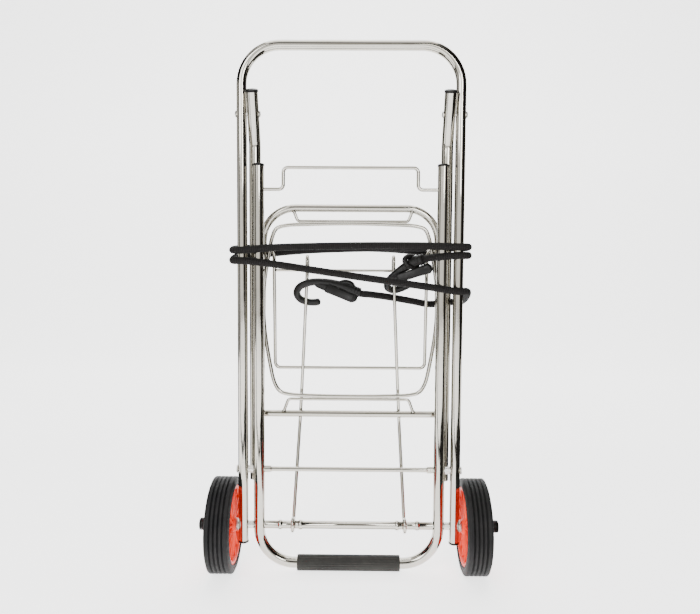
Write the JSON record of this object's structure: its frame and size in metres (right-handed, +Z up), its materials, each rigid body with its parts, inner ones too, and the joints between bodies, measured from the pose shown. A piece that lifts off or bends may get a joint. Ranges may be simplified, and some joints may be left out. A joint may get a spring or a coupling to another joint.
{
  "type": "folding platform cart",
  "caption": "Folding luggage cart, folded upright: chromed tube frames, a wire platform with a swing-out foot, ribbed wheels and a hooked elastic cord",
  "frame": {"origin": "on the floor, below the middle of the folded cart, in the plane of its two upright frames", "axes": "+X is the cart's right seen from the front, +Y is the back, where the platform folds out, +Z is up"},
  "size_m": [0.384, 0.12, 0.6698],
  "materials": {
    "chrome": "bright chrome plate on steel tube and wire",
    "zinc": "zinc-plated steel pins, washers and spacers",
    "black_plastic": "black moulded plastic, slight sheen",
    "sleeve_plastic": "dark grey soft plastic, fluted lengthwise",
    "tyre_rubber": "matte black ribbed tread",
    "red_plastic": "glossy orange-red moulded plastic",
    "elastic_cord": "black braided cover over a rubber core"
  },
  "bodies": {
    "frame": {"handle_frame": "chrome", "inner_frame": "chrome", "side_tube_left": "chrome", "side_tube_right": "chrome", "hinge_lug_left": "chrome", "hinge_lug_right": "chrome", "cross_rod": "chrome", "axle_sleeve": "chrome", "axle": "zinc", "upper_rivet_left": "zinc", "upper_rivet_right": "zinc", "hinge_pin_left": "zinc", "hinge_pin_right": "zinc", "rod_spacer_left": "zinc", "rod_spacer_right": "zinc", "axle_spacer_left": "zinc", "axle_spacer_right": "zinc", "push_nut_left": "zinc", "push_nut_right": "zinc", "axle_washer_left": "zinc", "axle_washer_right": "zinc", "side_tube_cap_left": "black_plastic", "side_tube_cap_right": "black_plastic", "handle_plug_left": "black_plastic", "handle_plug_right": "black_plastic", "inner_frame_plug_left": "black_plastic", "inner_frame_plug_right": "black_plastic", "axle_cap_left": "black_plastic", "axle_cap_right": "black_plastic", "bungee_hook_left": "black_plastic", "bungee_hook_right": "black_plastic", "foot_sleeve": "sleeve_plastic", "elastic_cord": "elastic_cord"},
    "platform": {"platform_frame": "chrome", "platform_bar": "chrome", "platform_loop": "chrome", "upper_staple": "chrome", "lower_staple": "chrome"},
    "foot": {"foot_wire": "chrome", "foot_cross_wire": "chrome"},
    "tie_rod_left": {"tie_rod_left": "chrome"},
    "tie_rod_right": {"tie_rod_right": "chrome"},
    "retaining_wire": {"retaining_wire": "chrome"},
    "wheel_left": {"tyre_left": "tyre_rubber", "wheel_hub_left": "red_plastic"},
    "wheel_right": {"tyre_right": "tyre_rubber", "wheel_hub_right": "red_plastic"}
  },
  "joints": [
    {"name": "platform_fold", "type": "hinge", "parent": "frame", "child": "platform", "pos_m": [0, 0.027, 0.133], "axis": [-1, 0, 0], "range_deg": [0, 90], "deforming": ["elastic_cord", "bungee_hook_left", "bungee_hook_right"]},
    {"name": "foot_fold", "type": "hinge", "parent": "platform", "child": "foot", "pos_m": [0, 0.027, 0.4149], "axis": [-1, 0, 0], "range_deg": [-120, 0]},
    {"name": "tie_rod_left_turn", "type": "hinge", "parent": "frame", "child": "tie_rod_left", "pos_m": [0, 0, 0.06], "axis": [-1, 0, 0], "range_deg": [0, 77]},
    {"name": "tie_rod_right_turn", "type": "hinge", "parent": "frame", "child": "tie_rod_right", "pos_m": [0, 0, 0.06], "axis": [-1, 0, 0], "range_deg": [0, 77]},
    {"name": "retaining_wire_swing", "type": "hinge", "parent": "frame", "child": "retaining_wire", "pos_m": [0, 0, 0.488], "axis": [-1, 0, 0], "range_deg": [0, 115]},
    {"name": "wheel_left_spin", "type": "hinge", "parent": "frame", "child": "wheel_left", "pos_m": [0, 0, 0.06], "axis": [1, 0, 0], "continuous": true},
    {"name": "wheel_right_spin", "type": "hinge", "parent": "frame", "child": "wheel_right", "pos_m": [0, 0, 0.06], "axis": [1, 0, 0], "continuous": true}
  ],
  "couplings": [
    {"joint": "foot_fold", "follows": "platform_fold", "ratio": -1.325},
    {"joint": "tie_rod_left_turn", "follows": "platform_fold", "ratio": 0.846},
    {"joint": "tie_rod_right_turn", "follows": "platform_fold", "ratio": 0.846}
  ]
}
